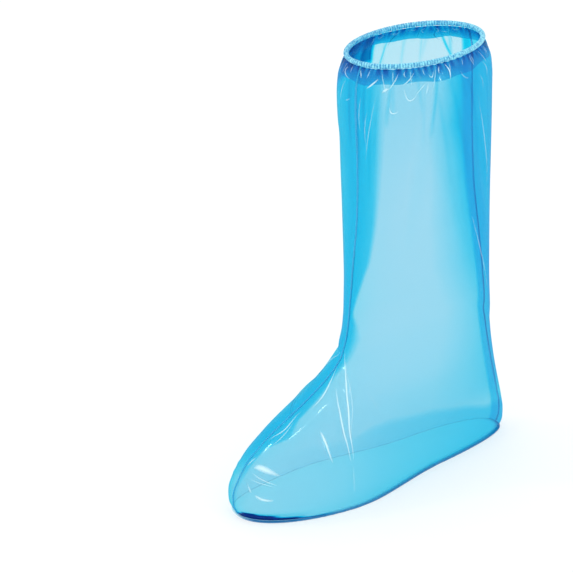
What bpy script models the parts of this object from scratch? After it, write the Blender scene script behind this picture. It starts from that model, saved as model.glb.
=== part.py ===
"""Knee-high shoe cover of thin blue film, standing empty on its sole.

Metres, +Z up, the toe towards -Y and the wearer's left at +X. The cover is two side panels of film
sealed along the front and the back, a flat film sole, a turned-in hem and a gathered elastic rim.
"""

import functools
import math
from collections import namedtuple

import bpy
from mathutils import Vector

# The foot
FOOT_LENGTH = 0.352        # from the toe's bulge to the heel's
BALL_WIDTH = 0.114         # across the widest part of the foot
HEEL_WIDTH = 0.078
ANKLE_WIDTH = 0.102
INSTEP_HEIGHT = 0.165      # where the slope of the foot meets the leg
BALL_LEAN = 0.010          # how far the ball of the foot stands towards the outer side
TOE_SHIFT = 0.004          # the toe's tip, to the outer side
HEEL_SHIFT = 0.008         # the heel, to the inner side
INSTEP_SHIFT = 0.011       # the ridge of the instep, to the outer side

# The leg and its mouth
COVER_HEIGHT = 0.467       # to the top of the elastic rim, halfway along it
HEEL_SETBACK = 0.035       # the back of the leg, in front of the heel's bulge
LEG_DEPTH = 0.168          # front to back
LEG_WIDTH = 0.128
SEAM_TURN = math.radians(13)   # how far the empty leg has twisted on its foot
MOUTH_DEPTH = 0.150        # the oval of the elastic rim, on its centre line
MOUTH_WIDTH = 0.107
MOUTH_SETBACK = 0.0039     # the oval's centre, in front of the middle of the leg
MOUTH_RISE = 0.0052        # how much higher the back of the rim is than the front

# Thicknesses and edges
FILM = 0.001               # film wall, drawn thicker than real film
GAP = 0.0003               # between pieces that touch
SEAM_WIDTH = 0.0012        # through the sealed seam, side to side
SEAM_FLANGE = 0.0012       # how far a seam stands out from the film
SOLE_THICKNESS = 0.0016
SEAL_THICKNESS = 0.0012    # the sole's edge, pressed thinner where the film is sealed to it
SEAL_BAND = 0.0045         # how far that pressed edge runs in from the film's outer face
SOLE_LIP = 0.0020          # how far it stands out
UPRIGHT_EDGE = 0.004       # how near the sole and the rim the walls turn upright
HEM_HEIGHT = 0.014         # how far the turned-in hem shows below the rim
ELASTIC_THICKNESS = 0.0054

# Gathers below the rim
GATHERS = 16
GATHER_DEPTH = 0.0022
GATHER_LENGTH = 0.058
FOLD_WIDTH = 0.0100        # from a fold's line to where it has mostly faded
FOLD_DEPTH = 0.0040
SHORT_SHARE = 0.6          # of the gathers' length and depth, for the ones between the long ones
RIB_DEPTH = 0.03           # of the rim's radius, pulled in between its gathers

# The foot's outline passes from the ball's half width to the heel's over this stretch of its length.
WAIST_START = 0.3
WAIST_LENGTH = 0.4
LEAN_SCALE = 27 / 4        # makes the lean reach its full size a third of the way back

# Facets, and the small steps that slopes are measured over
COLUMNS = 64               # round the cover, four to each gather
RIM_SIDES = 8
FOLD_STEPS = 12
FOLD_SWELL = 0.7           # below 1, a fold keeps its depth nearer to its ends
SMALL_ANGLE = 0.01
SMALL_RISE = 0.0008

# Heights are shares of INSTEP_HEIGHT. Front goes from 0 at the leg to 1 at the toe, and back from
# 0 at the leg to 1 at the heel. Ball, heel, lean and ridge are shares of the sizes above, square is
# how blunt the outline's ends are (2 is an ellipse), and tips is how much of the toe's and heel's shift.
FootRow = namedtuple("FootRow", "height front back ball heel lean ridge tips square")
FOOT_ROWS = [
    FootRow(0.000, 0.960, 0.87, 0.92, 0.84, 1.00, 0.00, 1.00, 2.45),
    FootRow(0.030, 0.978, 0.94, 0.94, 0.90, 1.00, 0.00, 0.96, 2.45),
    FootRow(0.075, 0.996, 1.00, 0.98, 0.99, 1.00, 0.00, 0.91, 2.45),
    FootRow(0.150, 1.000, 0.98, 1.00, 1.08, 0.95, 0.10, 0.82, 2.40),
    FootRow(0.250, 0.974, 0.87, 0.99, 1.16, 0.75, 0.45, 0.70, 2.35),
    FootRow(0.350, 0.932, 0.75, 0.95, 1.22, 0.50, 0.85, 0.58, 2.25),
    FootRow(0.485, 0.775, 0.58, 0.90, 1.27, 0.25, 1.00, 0.42, 2.15),
    FootRow(0.667, 0.432, 0.37, 0.88, 1.30, 0.05, 1.00, 0.20, 2.05),
    FootRow(0.848, 0.112, 0.20, 0.89, 1.31, 0.00, 0.35, 0.00, 2.00),
]

# Heights go from 0 at the instep to 1 at the top of the film. Front and back are bulges, as shares of
# LEG_DEPTH. Width goes from 0 at the ankle's width to 1 at the leg's, turn is a share of SEAM_TURN,
# and drawn is how far the film is drawn in to the rim's oval.
LegRow = namedtuple("LegRow", "height front back width ridge turn drawn")
LEG_ROWS = [
    LegRow(0.00, 0.014, 0.034, 0.02, -0.15, 0.00, 0.00),
    LegRow(0.09, -0.001, 0.021, 0.15, -0.12, 0.05, 0.00),
    LegRow(0.22, -0.005, 0.007, 0.40, 0.00, 0.30, 0.00),
    LegRow(0.46, -0.001, -0.007, 0.70, 0.00, 0.85, 0.00),
    LegRow(0.70, 0.013, -0.011, 0.92, 0.00, 1.00, 0.00),
    LegRow(0.87, 0.026, -0.014, 1.00, 0.00, 1.00, 0.00),
    LegRow(0.93, 0.026, -0.013, 0.99, 0.00, 0.98, 0.12),
    LegRow(0.97, 0.024, -0.012, 0.97, 0.00, 0.96, 0.48),
    LegRow(1.00, 0.022, -0.012, 0.96, 0.00, 0.95, 1.00),
]

# The rings of facets, as shares of the foot's height and of the leg's.
FOOT_LEVELS = (0.035, 0.07, 0.11, 0.16, 0.22, 0.29, 0.37, 0.46, 0.56, 0.66, 0.76, 0.86, 0.95)
LEG_LEVELS = (0.03, 0.09, 0.17, 0.27, 0.38, 0.50, 0.62, 0.72, 0.80, 0.855, 0.90, 0.935)
HEM_LEVELS = (0.0, 0.35, 0.70, 1.0)

# Folds that the film keeps. Each runs through three places, given by the angle in degrees round from
# the front seam and the height as a share of COVER_HEIGHT. Width and depth are shares of FOLD_WIDTH
# and FOLD_DEPTH, and a depth below zero is pushed in.
Fold = namedtuple("Fold", "angle_1 height_1 angle_2 height_2 angle_3 height_3 width depth")
FOLDS = [
    # the leg twists on its foot: two long creases down its outer side, and two behind them
    Fold(64, 0.850, 80, 0.70, 122, 0.43, 1.00, -0.80),
    Fold(92, 0.850, 108, 0.74, 126, 0.61, 0.80, -0.60),
    Fold(-150, 0.840, -128, 0.64, -104, 0.45, 1.00, -0.70),
    Fold(-40, 0.840, -58, 0.70, -84, 0.50, 1.10, -0.60),
    # the front of the leg stands out beside the seam and flattens at the ankle
    Fold(10, 0.880, 13, 0.66, 4, 0.45, 1.30, 0.45),
    # the ankle's creases, which meet low on the outer side
    Fold(4, 0.325, 36, 0.246, 64, 0.120, 0.55, 0.55),
    Fold(12, 0.270, 40, 0.212, 62, 0.125, 0.55, 0.50),
    Fold(24, 0.262, 48, 0.205, 63, 0.125, 0.60, -0.55),
    Fold(10, 0.330, 30, 0.286, 56, 0.230, 0.60, 0.30),
    Fold(-4, 0.315, -34, 0.250, -60, 0.140, 0.60, 0.50),
    Fold(-16, 0.300, -44, 0.225, -62, 0.150, 0.65, -0.50),
    Fold(38, 0.190, 50, 0.152, 58, 0.110, 0.60, 0.40),
    # the notch at the bend of the instep
    Fold(-48, 0.318, -20, 0.306, 4, 0.312, 0.50, -0.60),
    # creases at the back of the ankle
    Fold(150, 0.330, 176, 0.318, 204, 0.325, 0.80, -0.35),
    # wrinkles that spread from the toe's seam
    Fold(2, 0.104, 16, 0.112, 28, 0.104, 0.45, -0.45),
    Fold(2, 0.092, 14, 0.094, 28, 0.090, 0.40, -0.40),
    Fold(-2, 0.098, -16, 0.104, -30, 0.098, 0.45, -0.45),
    # the tuck where the outer side rolls in over the sole at the toe
    Fold(5, 0.0105, 22, 0.0110, 50, 0.0090, 0.45, -0.90),
]

Section = namedtuple(
    "Section", "level front back front_x back_x ball heel lean square turn drawn"
)
Column = namedtuple("Column", "angle aside")
Finish = namedtuple("Finish", "colour roughness")

FILM_FINISH = Finish((0.10, 0.52, 0.80, 1), 0.25)
SEAM_FINISH = Finish((0.06, 0.42, 0.72, 1), 0.30)
HEM_FINISH = Finish((0.04, 0.36, 0.70, 1), 0.30)
SOLE_FINISH = Finish((0.05, 0.38, 0.68, 1), 0.35)
ELASTIC_FINISH = Finish((0.20, 0.64, 0.88, 1), 0.40)

LEG_BACK = FOOT_LENGTH / 2 - HEEL_SETBACK
LEG_FRONT = LEG_BACK - LEG_DEPTH
MOUTH_CENTRE = (LEG_FRONT + LEG_BACK) / 2 - MOUTH_SETBACK
RIM_HEIGHT = COVER_HEIGHT - ELASTIC_THICKNESS / 2
FILM_TOP = COVER_HEIGHT - ELASTIC_THICKNESS - GAP
FILM_BOTTOM = SEAL_THICKNESS + GAP
FRONT = 0.0
BACK = math.pi


def ease(share):
    """0 below 0, 1 above 1 and a smooth step between."""
    share = min(max(share, 0.0), 1.0)
    return share * share * (3 - 2 * share)


def sections():
    """The rows of both tables in metres, from the sole up."""
    found = []
    for row in FOOT_ROWS:
        found.append(
            Section(
                level=row.height * INSTEP_HEIGHT,
                front=LEG_FRONT - row.front * (FOOT_LENGTH / 2 + LEG_FRONT),
                back=LEG_BACK + row.back * HEEL_SETBACK,
                front_x=row.tips * TOE_SHIFT + row.ridge * INSTEP_SHIFT,
                back_x=-row.tips * HEEL_SHIFT,
                ball=row.ball * BALL_WIDTH / 2,
                heel=row.heel * HEEL_WIDTH / 2,
                lean=row.lean * BALL_LEAN,
                square=row.square,
                turn=0.0,
                drawn=0.0,
            )
        )
    for row in LEG_ROWS:
        width = ANKLE_WIDTH + row.width * (LEG_WIDTH - ANKLE_WIDTH)
        found.append(
            Section(
                level=INSTEP_HEIGHT + row.height * (FILM_TOP - INSTEP_HEIGHT),
                front=LEG_FRONT - row.front * LEG_DEPTH,
                back=LEG_BACK + row.back * LEG_DEPTH,
                front_x=row.ridge * INSTEP_SHIFT,
                back_x=0.0,
                ball=width / 2,
                heel=width / 2,
                lean=0.0,
                square=2.0,
                turn=row.turn * SEAM_TURN,
                drawn=row.drawn,
            )
        )
    return found


SECTIONS = sections()


def steepness(index, field):
    """The slope of one column of the table at a row, kept level at its highs and lows."""
    here = SECTIONS[index]
    slopes = []
    for other in (index - 1, index + 1):
        if 0 <= other < len(SECTIONS):
            there = SECTIONS[other]
            slopes.append((there[field] - here[field]) / (there.level - here.level))
    if len(slopes) == 1:
        return slopes[0]
    if slopes[0] * slopes[1] <= 0:
        return 0.0
    return 2 * slopes[0] * slopes[1] / (slopes[0] + slopes[1])


@functools.lru_cache(maxsize=None)
def section_at(level):
    """The section at any height, on smooth curves through the table's rows."""
    index = 0
    while index < len(SECTIONS) - 2 and level > SECTIONS[index + 1].level:
        index += 1
    low = SECTIONS[index]
    high = SECTIONS[index + 1]
    rise = high.level - low.level
    share = (level - low.level) / rise
    values = [level]
    for field in range(1, len(low)):
        bend_low = steepness(index, field) * rise
        bend_high = steepness(index + 1, field) * rise
        value = low[field] * (1 + 2 * share) * (1 - share) ** 2
        value += high[field] * share * share * (3 - 2 * share)
        value += bend_low * share * (1 - share) ** 2
        value += bend_high * share * share * (share - 1)
        values.append(value)
    return Section(*values)


def rim_point(angle):
    """A point of the rim's centre line: an oval that rises towards the back."""
    along = -math.cos(angle) / 2
    return Vector(
        (
            MOUTH_WIDTH / 2 * math.sin(angle),
            MOUTH_CENTRE + MOUTH_DEPTH * along,
            RIM_HEIGHT + MOUTH_RISE * along,
        )
    )


@functools.lru_cache(maxsize=None)
def smooth_point(angle, level):
    """A point of the film before folds. The angle goes from the front seam round the outer side."""
    row = section_at(level)
    turned = angle + row.turn
    share = (1 - math.cos(turned)) / 2
    fullness = (1 - abs(2 * share - 1) ** row.square) ** (1 / row.square)
    half = row.ball + (row.heel - row.ball) * ease((share - WAIST_START) / WAIST_LENGTH)
    middle = row.front_x * (1 - share) + row.back_x * share
    middle += row.lean * LEAN_SCALE * share * (1 - share) ** 2
    point = Vector(
        (
            middle + math.copysign(half * fullness, math.sin(turned)),
            row.front + (row.back - row.front) * share,
            level,
        )
    )
    rim = rim_point(turned)
    raised = ease((level - INSTEP_HEIGHT) / (FILM_TOP - INSTEP_HEIGHT))
    point.z += raised * (rim.z - RIM_HEIGHT)
    point.x += row.drawn * (rim.x - point.x)
    point.y += row.drawn * (rim.y - point.y)
    return point


def directions(surface, angle, level):
    """The way round and the way out of a surface, which is level where it meets the sole and the rim."""
    around = surface(angle + SMALL_ANGLE, level) - surface(angle - SMALL_ANGLE, level)
    upward = surface(angle, level + SMALL_RISE) - surface(angle, level - SMALL_RISE)
    around.normalize()
    outward = around.cross(upward).normalized()
    outward.z *= ease(min(level - FILM_BOTTOM, FILM_TOP - level) / UPRIGHT_EDGE)
    return around, outward.normalized()


def gather(angle, level):
    """How far the gathers push the film out below the rim: every other one is longer."""
    depth = FILM_TOP - level
    short = ease(1 - depth / (SHORT_SHARE * GATHER_LENGTH))
    long = ease(1 - depth / GATHER_LENGTH)
    ripple = SHORT_SHARE * short * math.cos(GATHERS * angle)
    ripple += (1 - SHORT_SHARE) * long * math.cos(GATHERS / 2 * angle)
    return GATHER_DEPTH * ripple


def fold_path(fold):
    """The points of a fold's line on the smooth film, on a curve through its three places."""
    path = []
    for index in range(FOLD_STEPS + 1):
        share = index / FOLD_STEPS
        first = (1 - share) * (1 - 2 * share)
        second = 4 * share * (1 - share)
        third = share * (2 * share - 1)
        angle = first * fold.angle_1 + second * fold.angle_2 + third * fold.angle_3
        height = first * fold.height_1 + second * fold.height_2 + third * fold.height_3
        path.append(smooth_point(math.radians(angle), height * COVER_HEIGHT))
    return path


@functools.lru_cache(maxsize=None)
def fold_paths():
    """Every fold with its line, the line's middle and how far from there it can be felt."""
    found = []
    for fold in FOLDS:
        path = fold_path(fold)
        middle = path[len(path) // 2]
        reach = max((point - middle).length for point in path) + 3 * fold.width * FOLD_WIDTH
        found.append((fold, path, middle, reach))
    return found


def folds(place):
    """How far the kept folds push the film out at a place on it."""
    total = 0.0
    for fold, path, middle, reach in fold_paths():
        if (place - middle).length > reach:
            continue
        nearest = None
        for index in range(FOLD_STEPS):
            along = path[index + 1] - path[index]
            share = (place - path[index]).dot(along) / along.length_squared
            share = min(max(share, 0.0), 1.0)
            away = (path[index] + along * share - place).length
            if nearest is None or away < nearest[0]:
                nearest = (away, (index + share) / FOLD_STEPS)
        away, share = nearest
        fade = math.exp(-((away / (fold.width * FOLD_WIDTH)) ** 2))
        total += FOLD_DEPTH * fold.depth * fade * math.sin(math.pi * share) ** FOLD_SWELL
    return total


@functools.lru_cache(maxsize=None)
def film_point(angle, level):
    """A point of the film's outer face, with its gathers and folds."""
    place = smooth_point(angle, level)
    outward = directions(smooth_point, angle, level)[1]
    return place + outward * (gather(angle, level) + folds(place))


def layer_point(column, level, depth):
    """A point at a depth inside the film's outer face, moved aside along the film."""
    around, outward = directions(film_point, column.angle, level)
    return film_point(column.angle, level) + around * column.aside - outward * depth


def film_levels():
    """The rings of the whole film from the sole to the rim."""
    leg = FILM_TOP - INSTEP_HEIGHT
    levels = [FILM_BOTTOM]
    levels += [share * INSTEP_HEIGHT for share in FOOT_LEVELS]
    levels += [INSTEP_HEIGHT + share * leg for share in LEG_LEVELS]
    return levels + hem_levels()


def hem_levels():
    """The rings of the turned-in hem, the last of them under the rim."""
    return [FILM_TOP - HEM_HEIGHT * (1 - share) for share in HEM_LEVELS]


def add_object(name, vertices, faces, finish):
    """Make one mesh object with its own plain material."""
    mesh = bpy.data.meshes.new(name)
    mesh.from_pydata([tuple(vertex) for vertex in vertices], [], faces)
    mesh.update()
    material = bpy.data.materials.new(name)
    material.use_nodes = True
    shader = material.node_tree.nodes["Principled BSDF"]
    shader.inputs["Base Color"].default_value = finish.colour
    shader.inputs["Roughness"].default_value = finish.roughness
    shader.inputs["Metallic"].default_value = 0.0
    mesh.materials.append(material)
    mesh.shade_smooth()
    made = bpy.data.objects.new(name, mesh)
    bpy.context.scene.collection.objects.link(made)
    return made


def add_wall(name, columns, levels, outer, inner, closed, finish):
    """Make one closed wall of film between two depths. A closed wall runs right round the cover."""
    vertices = []
    for level in levels:
        for column in columns:
            vertices.append(layer_point(column, level, outer))
            vertices.append(layer_point(column, level, inner))

    count = len(columns)
    rings = len(levels)

    def outside(ring, column):
        return 2 * (ring * count + column % count)

    def inside(ring, column):
        return outside(ring, column) + 1

    faces = []
    for column in range(count if closed else count - 1):
        after = column + 1
        for ring in range(rings - 1):
            above = ring + 1
            low, high = outside(ring, column), outside(above, column)
            low_after, high_after = outside(ring, after), outside(above, after)
            faces.append((low, low_after, high_after, high))
            low, high = inside(ring, column), inside(above, column)
            low_after, high_after = inside(ring, after), inside(above, after)
            faces.append((low_after, low, high, high_after))
        top = rings - 1
        faces.append((outside(top, column), outside(top, after), inside(top, after), inside(top, column)))
        faces.append((outside(0, after), outside(0, column), inside(0, column), inside(0, after)))
    if not closed:
        end = count - 1
        for ring in range(rings - 1):
            above = ring + 1
            faces.append((outside(ring, 0), outside(above, 0), inside(above, 0), inside(ring, 0)))
            faces.append((outside(above, end), outside(ring, end), inside(ring, end), inside(above, end)))
    return add_object(name, vertices, faces, finish)


def add_panel(name, start):
    """Make one side of the cover, from seam to seam, clear of both."""
    clear = SEAM_WIDTH / 2 + GAP
    step = 2 * math.pi / COLUMNS
    columns = [Column(start, clear)]
    columns += [Column(start + step * index, 0.0) for index in range(1, COLUMNS // 2)]
    columns.append(Column(start + math.pi, -clear))
    return add_wall(name, columns, film_levels(), 0.0, FILM, False, FILM_FINISH)


def add_seam(name, angle):
    """Make one sealed seam: a strip as deep as the film, standing out as a small flange."""
    columns = [Column(angle, -SEAM_WIDTH / 2), Column(angle, SEAM_WIDTH / 2)]
    return add_wall(name, columns, film_levels(), -SEAM_FLANGE, FILM, False, SEAM_FINISH)


def add_hem():
    """Make the turned-in second layer behind the film at the mouth."""
    step = 2 * math.pi / COLUMNS
    columns = [Column(step * index, 0.0) for index in range(COLUMNS)]
    outer = FILM + GAP
    return add_wall("hem_facing", columns, hem_levels(), outer, outer + FILM, True, HEM_FINISH)


def add_sole():
    """Make the flat sole, whose thin sealed edge carries the film and stands out round it as a lip."""
    profile = [
        (SOLE_LIP, 0.0),
        (SOLE_LIP, SEAL_THICKNESS),
        (-SEAL_BAND, SEAL_THICKNESS),
        (-SEAL_BAND, SOLE_THICKNESS),
    ]
    corners = len(profile)
    vertices = []
    for index in range(COLUMNS):
        angle = 2 * math.pi * index / COLUMNS
        around = directions(smooth_point, angle, FILM_BOTTOM)[0]
        outward = Vector((around.y, -around.x, 0)).normalized()
        for reach, height in profile:
            edge = smooth_point(angle, FILM_BOTTOM) + outward * reach
            vertices.append((edge.x, edge.y, height))
    faces = [
        tuple(corners * index for index in reversed(range(COLUMNS))),
        tuple(corners * index + corners - 1 for index in range(COLUMNS)),
    ]
    for index in range(COLUMNS):
        here = corners * index
        after = corners * ((index + 1) % COLUMNS)
        for corner in range(corners - 1):
            faces.append((here + corner, after + corner, after + corner + 1, here + corner + 1))
    return add_object("sole", vertices, faces, SOLE_FINISH)


def add_rim():
    """Make the elastic rim: a round cord along the mouth's oval, ribbed by its gathers."""
    vertices = []
    faces = []
    for index in range(COLUMNS):
        angle = 2 * math.pi * index / COLUMNS
        ahead = rim_point(angle + SMALL_ANGLE) - rim_point(angle - SMALL_ANGLE)
        outward = Vector((ahead.y, -ahead.x, 0)).normalized()
        upward = outward.cross(ahead).normalized()
        radius = ELASTIC_THICKNESS / 2 * (1 + RIB_DEPTH * (math.cos(GATHERS * angle) - 1))
        for side in range(RIM_SIDES):
            turn = 2 * math.pi * side / RIM_SIDES
            reach = outward * math.cos(turn) + upward * math.sin(turn)
            vertices.append(rim_point(angle) + reach * radius)
            here = index * RIM_SIDES
            after = ((index + 1) % COLUMNS) * RIM_SIDES
            above = (side + 1) % RIM_SIDES
            faces.append((here + side, after + side, after + above, here + above))
    return add_object("elastic_rim", vertices, faces, ELASTIC_FINISH)


def main():
    """Clear the scene and make every piece."""
    for old in list(bpy.data.objects):
        bpy.data.objects.remove(old)
    add_panel("film_panel_left", FRONT)
    add_panel("film_panel_right", BACK)
    add_seam("front_seam", FRONT)
    add_seam("back_seam", BACK)
    add_hem()
    add_sole()
    add_rim()


main()
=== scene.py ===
# %% [markdown]
# # A knee-high shoe cover of clear blue film
# The real cover is two panels of thin polyethylene film, heat-sealed to each other down the front and
# the back and to a flat film sole. At the mouth the film is turned in and gathered on an elastic.
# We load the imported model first. It is the fixed frame: everything we make has to sit where it says.

# %% The frame
import math
from collections import namedtuple

import bpy
import numpy as np
from mathutils import Matrix, Vector


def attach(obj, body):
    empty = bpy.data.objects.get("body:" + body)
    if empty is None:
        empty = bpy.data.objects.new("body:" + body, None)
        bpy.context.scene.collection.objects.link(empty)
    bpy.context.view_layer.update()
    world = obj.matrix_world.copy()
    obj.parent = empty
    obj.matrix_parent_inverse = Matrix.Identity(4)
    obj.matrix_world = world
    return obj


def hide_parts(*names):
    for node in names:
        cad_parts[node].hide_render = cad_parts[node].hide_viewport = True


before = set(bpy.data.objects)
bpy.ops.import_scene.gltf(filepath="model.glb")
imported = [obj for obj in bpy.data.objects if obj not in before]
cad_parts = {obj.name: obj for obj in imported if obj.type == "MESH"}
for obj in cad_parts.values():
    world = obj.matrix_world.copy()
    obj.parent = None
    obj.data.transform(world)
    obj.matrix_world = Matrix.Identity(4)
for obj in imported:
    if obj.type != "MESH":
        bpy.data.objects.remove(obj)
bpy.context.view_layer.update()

scene = bpy.context.scene
print("frame loaded:", ", ".join(sorted(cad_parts)))

# %% [markdown]
# The camera looks from the photograph's own angle. A short way to find it is to guess the distance
# and the lens, and turn the camera until the top of the elastic and the line of the sole lie right.
# The cover stands right of the middle of the picture, so the camera is aimed past its left side. It
# is turned about its own upright, which keeps the picture from tilting, and no lens shift is needed.

# %% Camera
PICTURE_SIDE = 573              # pixels
SENSOR = 36.0                   # millimetres
LENS = 158.08
CAMERA_AZIMUTH = math.radians(54.8)
CAMERA_HEIGHT_ANGLE = math.radians(24.65)
CAMERA_DISTANCE = 2.6
LOOK_AT = Vector((0, 0, 0.2))
LOOK_AT_PIXEL = (371.4, 297.2)  # where that point shows in the photograph


def add_camera():
    level = math.cos(CAMERA_HEIGHT_ANGLE)
    back = Vector((
        math.sin(CAMERA_AZIMUTH) * level,
        -math.cos(CAMERA_AZIMUTH) * level,
        math.sin(CAMERA_HEIGHT_ANGLE),
    ))
    right = Vector((math.cos(CAMERA_AZIMUTH), math.sin(CAMERA_AZIMUTH), 0))
    up = back.cross(right)
    focal = LENS / SENSOR * PICTURE_SIDE
    aside = PICTURE_SIDE / 2 - LOOK_AT_PIXEL[0]
    above = LOOK_AT_PIXEL[1] - PICTURE_SIDE / 2
    aim = (-back * focal + right * aside + up * above).normalized()
    right = aim.cross(up).normalized()
    up = right.cross(aim)
    data = bpy.data.cameras.new("camera")
    data.lens = LENS
    data.sensor_width = SENSOR
    data.clip_end = 50
    camera = bpy.data.objects.new("camera", data)
    turned = Matrix((right, up, -aim)).transposed().to_4x4()
    camera.matrix_world = Matrix.Translation(LOOK_AT + back * CAMERA_DISTANCE) @ turned
    scene.collection.objects.link(camera)
    scene.camera = camera
    return camera


camera = add_camera()
print("camera at", tuple(round(value, 3) for value in camera.matrix_world.translation))

# %% [markdown]
# Product photographs of clear film are lit by a bright white surround, which shows through the film,
# and by a few small strong lamps, which catch its creases; the thin white lines on the creases are
# painted highlights, made further down. The table is white acrylic, lit from below, so that no grey
# shadow of the film shows, and it goes on past the picture's edges. The plain colour transform keeps
# its white as white.

# %% Floor, surround and lamps
FLOOR_SIDE = 16.0
SURROUND_STRENGTH = 1.0
TABLE_GLOW = 0.50               # the light that comes up through the table
Lamp = namedtuple("Lamp", "name azimuth height distance width tall brightness")
# Brightness is the lamp's own, as seen: a white wall in the surround has 1.
LAMPS = [
    Lamp("key_lamp", -35, 48, 2.4, 0.20, 0.20, 44),
    Lamp("side_lamp", 112, 30, 2.4, 0.035, 0.90, 40),
    Lamp("front_lamp", 22, 66, 2.4, 0.10, 0.26, 36),
]


def linear(text):
    """The linear colour of an sRGB hex value such as 2bb5e8."""
    values = [int(text[place:place + 2], 16) / 255 for place in (0, 2, 4)]
    values = [v / 12.92 if v <= 0.04045 else ((v + 0.055) / 1.055) ** 2.4 for v in values]
    return (*values, 1.0)


def add_surround():
    world = bpy.data.worlds.new("white_surround")
    world.use_nodes = True
    shade = world.node_tree.nodes["Background"]
    shade.inputs["Color"].default_value = linear("ffffff")
    shade.inputs["Strength"].default_value = SURROUND_STRENGTH
    scene.world = world


def add_floor():
    half = FLOOR_SIDE / 2
    corners = [(-half, -half, 0), (half, -half, 0), (half, half, 0), (-half, half, 0)]
    mesh = bpy.data.meshes.new("floor")
    mesh.from_pydata(corners, [], [(0, 1, 2, 3)])
    floor = bpy.data.objects.new("floor", mesh)
    scene.collection.objects.link(floor)
    paint = bpy.data.materials.new("lit_white_acrylic")
    paint.use_nodes = True
    shader = paint.node_tree.nodes["Principled BSDF"]
    shader.inputs["Base Color"].default_value = linear("bcbcbc")
    shader.inputs["Emission Color"].default_value = linear("ffffff")
    shader.inputs["Emission Strength"].default_value = TABLE_GLOW
    shader.inputs["Roughness"].default_value = 0.9
    shader.inputs["Specular IOR Level"].default_value = 0.1
    mesh.materials.append(paint)


def add_lamp(lamp):
    azimuth, height = math.radians(lamp.azimuth), math.radians(lamp.height)
    away = Vector((
        math.sin(azimuth) * math.cos(height), -math.cos(azimuth) * math.cos(height), math.sin(height)
    ))
    data = bpy.data.lights.new(lamp.name, "AREA")
    data.shape = "RECTANGLE"
    data.size = lamp.width
    data.size_y = lamp.tall
    data.energy = lamp.brightness * lamp.width * lamp.tall * math.pi
    made = bpy.data.objects.new(lamp.name, data)
    made.location = LOOK_AT + away * lamp.distance
    made.rotation_euler = (-away).to_track_quat("-Z", "Y").to_euler()
    scene.collection.objects.link(made)


scene.view_settings.view_transform = "Standard"
add_surround()
add_floor()
for lamp in LAMPS:
    add_lamp(lamp)
print("floor and", len(LAMPS), "lamps")

# %% [markdown]
# The cover has one smooth shape under its folds, and every piece follows it, so we write it down once
# as a function of two numbers: the angle round from the front seam and the height. Two short tables
# give the outline's front, back and widths at a few heights, and smooth curves run between the rows.
# A sculpted mesh could look as good, but the seam, the hem and the sole would each need fitting to it.

# %% The real sizes, in metres
FOOT_LENGTH = 0.352
BALL_WIDTH = 0.114
HEEL_WIDTH = 0.078
ANKLE_WIDTH = 0.102
INSTEP_HEIGHT = 0.165
BALL_LEAN = 0.010
TOE_SHIFT = 0.004
HEEL_SHIFT = 0.008
INSTEP_SHIFT = 0.011
COVER_HEIGHT = 0.467
HEEL_SETBACK = 0.035
LEG_DEPTH = 0.168
LEG_WIDTH = 0.128
SEAM_TURN = math.radians(13)
MOUTH_DEPTH = 0.150
MOUTH_WIDTH = 0.107
MOUTH_SETBACK = 0.0039
MOUTH_RISE = 0.0052
GAP = 0.0003
SEAM_WIDTH = 0.0012
SEAM_FLANGE = 0.0012
SOLE_THICKNESS = 0.0016
SEAL_THICKNESS = 0.0012
UPRIGHT_EDGE = 0.004
HEM_HEIGHT = 0.014
ELASTIC_THICKNESS = 0.0054

LEG_BACK = FOOT_LENGTH / 2 - HEEL_SETBACK
LEG_FRONT = LEG_BACK - LEG_DEPTH
MOUTH_CENTRE = (LEG_FRONT + LEG_BACK) / 2 - MOUTH_SETBACK
RIM_HEIGHT = COVER_HEIGHT - ELASTIC_THICKNESS / 2
FILM_TOP = COVER_HEIGHT - ELASTIC_THICKNESS - GAP
FILM_BOTTOM = SEAL_THICKNESS + GAP
print(f"the film runs from {FILM_BOTTOM * 1000:.1f} to {FILM_TOP * 1000:.1f} mm above the floor")

# %% The tables of sections
# The foot's rows: height, front, back, ball, heel, lean, ridge, tips and square. Each is a share of the
# size of that name, and square says how squarely the section is rounded.
FOOT_ROWS = (
    (0.000, 0.960, 0.87, 0.92, 0.84, 1.00, 0.00, 1.00, 2.45),
    (0.030, 0.978, 0.94, 0.94, 0.90, 1.00, 0.00, 0.96, 2.45),
    (0.075, 0.996, 1.00, 0.98, 0.99, 1.00, 0.00, 0.91, 2.45),
    (0.150, 1.000, 0.98, 1.00, 1.08, 0.95, 0.10, 0.82, 2.40),
    (0.250, 0.974, 0.87, 0.99, 1.16, 0.75, 0.45, 0.70, 2.35),
    (0.350, 0.932, 0.75, 0.95, 1.22, 0.50, 0.85, 0.58, 2.25),
    (0.485, 0.775, 0.58, 0.90, 1.27, 0.25, 1.00, 0.42, 2.15),
    (0.667, 0.432, 0.37, 0.88, 1.30, 0.05, 1.00, 0.20, 2.05),
    (0.848, 0.112, 0.20, 0.89, 1.31, 0.00, 0.35, 0.00, 2.00),
)
# The leg's rows: height, front, back, width, ridge, turn, and how far it is drawn to the mouth's oval.
LEG_ROWS = (
    (0.00, 0.014, 0.034, 0.02, -0.15, 0.00, 0.00),
    (0.09, -0.001, 0.021, 0.15, -0.12, 0.05, 0.00),
    (0.22, -0.005, 0.007, 0.40, 0.00, 0.30, 0.00),
    (0.46, -0.001, -0.007, 0.70, 0.00, 0.85, 0.00),
    (0.70, 0.013, -0.011, 0.92, 0.00, 1.00, 0.00),
    (0.87, 0.026, -0.014, 1.00, 0.00, 1.00, 0.00),
    (0.93, 0.026, -0.013, 0.99, 0.00, 0.98, 0.12),
    (0.97, 0.024, -0.012, 0.97, 0.00, 0.96, 0.48),
    (1.00, 0.022, -0.012, 0.96, 0.00, 0.95, 1.00),
)
ROUND = 2.0     # the square number of a plain oval
Section = namedtuple("Section", "level front back front_x back_x ball heel lean square turn drawn")


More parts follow.
